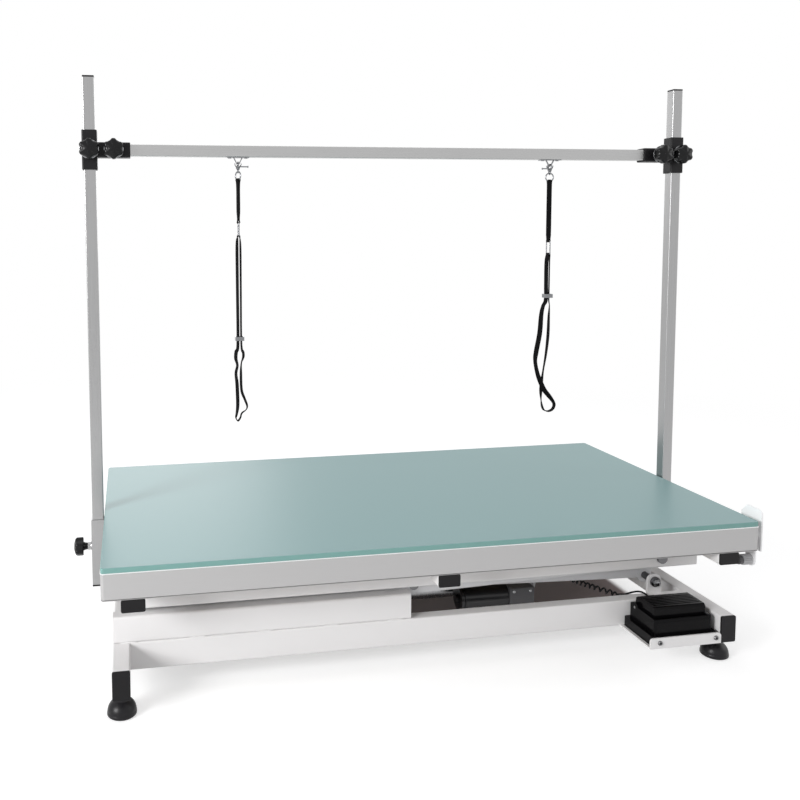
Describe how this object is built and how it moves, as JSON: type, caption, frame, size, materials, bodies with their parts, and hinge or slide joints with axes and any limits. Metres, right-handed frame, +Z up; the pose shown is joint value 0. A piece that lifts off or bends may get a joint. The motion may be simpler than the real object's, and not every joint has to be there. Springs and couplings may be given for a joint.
{
  "type": "dog grooming table",
  "caption": "Low electric scissor-lift grooming table with a glass top, an overhead bar on two uprights and hanging nooses, raised by a foot treadle.",
  "frame": {"origin": "on the floor under the middle of the table top", "axes": "+X along the table's length, to the right seen from the foot switch's side; +Y from front to back; +Z up"},
  "size_m": [1.3172, 0.6018, 1.107],
  "materials": {
    "frame_paint": "satin grey-white powder coat",
    "arm_paint": "satin silver powder coat",
    "edge_aluminium": "brushed, anodised",
    "bright_steel": "zinc plated",
    "bright_tube": "polished stainless",
    "zinc_wire": "nickel plated",
    "cast_grey": "moulded, matt",
    "black_plastic": "moulded, satin",
    "foot_rubber": "matt",
    "nylon_roller": "turned, satin",
    "motor_black": "satin black",
    "core_wood": "bare plywood",
    "frosted_glass": "frosted, clear edge",
    "black_webbing": "woven nylon",
    "cord_black": "smooth, satin"
  },
  "bodies": {
    "base": {"base_cross_beams": "frame_paint", "base_long_rails": "frame_paint", "base_caps": "black_plastic", "rubber_feet": "foot_rubber", "foot_bolts": "bright_steel", "track_front": "frame_paint", "track_rear": "frame_paint", "pivot_brackets": "frame_paint", "lower_pivot_rod": "bright_steel", "switch_tray": "frame_paint", "switch_housing": "black_plastic", "treadle_pin": "bright_steel", "control_box": "black_plastic", "switch_cord": "cord_black"},
    "inner_frame": {"inner_arms": "arm_paint", "inner_cross_member": "arm_paint", "inner_pins": "bright_steel"},
    "outer_frame": {"outer_arms": "arm_paint", "outer_cross_member": "arm_paint", "outer_pins": "bright_steel", "cross_bolts": "bright_steel"},
    "upper_rollers": {"upper_rollers": "nylon_roller"},
    "lower_rollers": {"lower_rollers": "nylon_roller"},
    "actuator_body": {"gear_housing": "cast_grey", "drive_motor": "motor_black", "actuator_tube": "bright_steel"},
    "actuator_rod": {"actuator_rod": "bright_steel"},
    "table_top": {"top_cross_tubes": "frame_paint", "top_caps": "black_plastic", "upper_rail_front": "frame_paint", "upper_rail_rear": "frame_paint", "upper_pivot_rod": "bright_steel", "edge_rail_front": "edge_aluminium", "edge_rail_rear": "edge_aluminium", "edge_rails_side": "edge_aluminium", "core_board": "core_wood", "glass_top": "frosted_glass", "sockets": "bright_tube", "side_bracket": "frame_paint"},
    "bracket_knob": {"bracket_knob": "black_plastic"},
    "socket_knob_left": {"socket_knob_left": "black_plastic"},
    "socket_knob_right": {"socket_knob_right": "black_plastic"},
    "upright_left": {"upright_left": "bright_tube"},
    "upright_right": {"upright_right": "bright_tube"},
    "overhead_bar": {"clamps": "cast_grey", "crossbar": "bright_tube", "noose_eyes": "zinc_wire"},
    "clamp_knob_left": {"clamp_knob_left": "black_plastic"},
    "clamp_knob_right": {"clamp_knob_right": "black_plastic"},
    "bar_knob_left": {"bar_knob_left": "black_plastic"},
    "bar_knob_right": {"bar_knob_right": "black_plastic"},
    "snap_left": {"snap_left": "zinc_wire"},
    "snap_right": {"snap_right": "zinc_wire"},
    "noose_left": {"noose_left": "black_webbing", "noose_link_left": "zinc_wire"},
    "noose_right": {"noose_right": "black_webbing", "noose_link_right": "zinc_wire"},
    "noose_slider_left": {"noose_slider_left": "zinc_wire"},
    "noose_slider_right": {"noose_slider_right": "zinc_wire"},
    "treadle": {"treadle": "black_plastic"}
  },
  "joints": [
    {"name": "lift", "type": "hinge", "parent": "base", "child": "inner_frame", "pos_m": [0.469, 0, 0.116], "axis": [0, 1, 0], "range_deg": [0, 36]},
    {"name": "scissor_cross", "type": "hinge", "parent": "inner_frame", "child": "outer_frame", "pos_m": [-0.02524, 0, 0.1435], "axis": [0, 1, 0], "range_deg": [-72, 0]},
    {"name": "top_pivot", "type": "hinge", "parent": "outer_frame", "child": "table_top", "pos_m": [0.469, 0, 0.171], "axis": [0, 1, 0], "range_deg": [0, 36]},
    {"name": "actuator_pivot", "type": "hinge", "parent": "inner_frame", "child": "actuator_body", "pos_m": [0.28827, 0, 0.05394], "axis": [0, 1, 0], "range_deg": [-36, 0]},
    {"name": "rod_pivot", "type": "hinge", "parent": "outer_frame", "child": "actuator_rod", "pos_m": [-0.33874, 0, 0.05394], "axis": [0, 1, 0], "range_deg": [0, 36]},
    {"name": "upper_roller_spin", "type": "hinge", "parent": "inner_frame", "child": "upper_rollers", "pos_m": [-0.51947, 0, 0.171], "axis": [0, 1, 0], "continuous": true},
    {"name": "lower_roller_spin", "type": "hinge", "parent": "outer_frame", "child": "lower_rollers", "pos_m": [-0.51947, 0, 0.116], "axis": [0, 1, 0], "continuous": true},
    {"name": "upright_slide_left", "type": "slide", "parent": "table_top", "child": "upright_left", "axis": [0, 0, 1], "range_m": [0, 0.07]},
    {"name": "upright_slide_right", "type": "slide", "parent": "table_top", "child": "upright_right", "axis": [0, 0, 1], "range_m": [0, 0.07]},
    {"name": "bar_slide", "type": "slide", "parent": "upright_left", "child": "overhead_bar", "axis": [0, 0, 1], "range_m": [-0.14, 0.09]},
    {"name": "socket_knob_left_turn", "type": "hinge", "parent": "table_top", "child": "socket_knob_left", "pos_m": [-0.6346, 0, 0.196], "axis": [-1, 0, 0], "range_deg": [-180, 180]},
    {"name": "socket_knob_right_turn", "type": "hinge", "parent": "table_top", "child": "socket_knob_right", "pos_m": [0.6346, 0, 0.196], "axis": [1, 0, 0], "range_deg": [-180, 180]},
    {"name": "clamp_knob_left_turn", "type": "hinge", "parent": "overhead_bar", "child": "clamp_knob_left", "pos_m": [-0.6133, -0.0183, 0.968], "axis": [0, -1, 0], "range_deg": [-180, 180]},
    {"name": "clamp_knob_right_turn", "type": "hinge", "parent": "overhead_bar", "child": "clamp_knob_right", "pos_m": [0.6133, -0.0183, 0.968], "axis": [0, -1, 0], "range_deg": [-180, 180]},
    {"name": "bar_knob_left_turn", "type": "hinge", "parent": "overhead_bar", "child": "bar_knob_left", "pos_m": [-0.568, -0.0183, 0.968], "axis": [0, -1, 0], "range_deg": [-180, 180]},
    {"name": "bar_knob_right_turn", "type": "hinge", "parent": "overhead_bar", "child": "bar_knob_right", "pos_m": [0.568, -0.0183, 0.968], "axis": [0, -1, 0], "range_deg": [-180, 180]},
    {"name": "bracket_knob_turn", "type": "hinge", "parent": "table_top", "child": "bracket_knob", "pos_m": [0.606, -0.264, 0.1825], "axis": [-1, 0, 0], "range_deg": [-180, 180]},
    {"name": "snap_swing_left", "type": "hinge", "parent": "overhead_bar", "child": "snap_left", "pos_m": [-0.329, 0, 0.944], "axis": [1, 0, 0], "range_deg": [-60, 60]},
    {"name": "snap_swing_right", "type": "hinge", "parent": "overhead_bar", "child": "snap_right", "pos_m": [0.329, 0, 0.944], "axis": [1, 0, 0], "range_deg": [-60, 60]},
    {"name": "noose_swing_left", "type": "hinge", "parent": "snap_left", "child": "noose_left", "pos_m": [-0.329, 0, 0.9265], "axis": [0, 1, 0], "range_deg": [-25, 25]},
    {"name": "noose_swing_right", "type": "hinge", "parent": "snap_right", "child": "noose_right", "pos_m": [0.329, 0, 0.9265], "axis": [0, 1, 0], "range_deg": [-25, 25]},
    {"name": "noose_slider_left_slide", "type": "slide", "parent": "noose_left", "child": "noose_slider_left", "axis": [0, 0, 1], "range_m": [0, 0.06]},
    {"name": "noose_slider_right_slide", "type": "slide", "parent": "noose_right", "child": "noose_slider_right", "axis": [0, 0, 1], "range_m": [0, 0.06]},
    {"name": "treadle_press", "type": "hinge", "parent": "base", "child": "treadle", "pos_m": [0.456, -0.228, 0.089], "axis": [1, 0, 0], "range_deg": [0, 6], "stiffness_Nm_per_rad": 3, "springref_deg": -3.44}
  ],
  "couplings": [
    {"joint": "scissor_cross", "follows": "lift", "ratio": -2},
    {"joint": "top_pivot", "follows": "lift", "ratio": 1},
    {"joint": "actuator_pivot", "follows": "lift", "ratio": -1},
    {"joint": "rod_pivot", "follows": "lift", "ratio": 1},
    {"joint": "upright_slide_right", "follows": "upright_slide_left", "ratio": 1}
  ]
}
